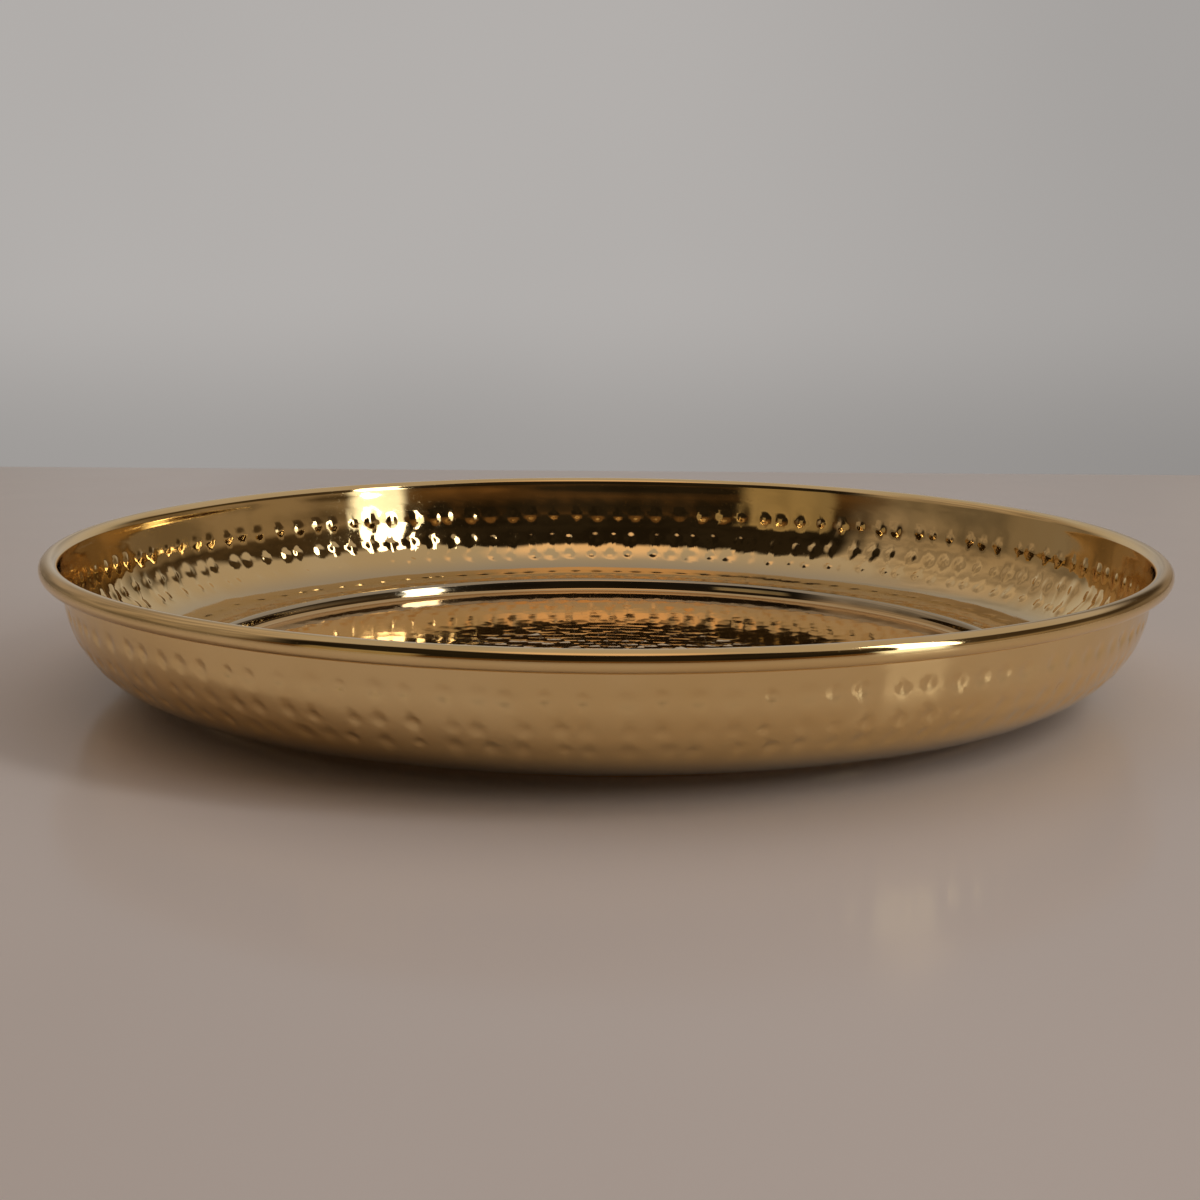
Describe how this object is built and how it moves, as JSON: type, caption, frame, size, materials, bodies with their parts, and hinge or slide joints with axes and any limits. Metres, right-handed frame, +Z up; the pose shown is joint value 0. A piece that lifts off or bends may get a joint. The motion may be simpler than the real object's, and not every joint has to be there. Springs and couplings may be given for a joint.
{
  "type": "thali plate",
  "caption": "Round hammered metal thali with a rolled, wired rim, an upright wall on a wide cove, and a raised ring round a sunken flat floor.",
  "frame": {"origin": "centre of the foot, on the surface that the plate stands on", "axes": "+Z up along the axis of the round plate, out of its open side; +X and +Y lie in the surface that it stands on, and -Y is the side nearest the viewer in the picture"},
  "size_m": [0.305, 0.305, 0.0363],
  "materials": {
    "hammered_brass": "polished, hand hammered, lightly toned",
    "rim_steel": "drawn wire, hidden inside the roll"
  },
  "bodies": {
    "root": {"hammered_dish": "hammered_brass", "rim_wire": "rim_steel"}
  },
  "joints": []
}
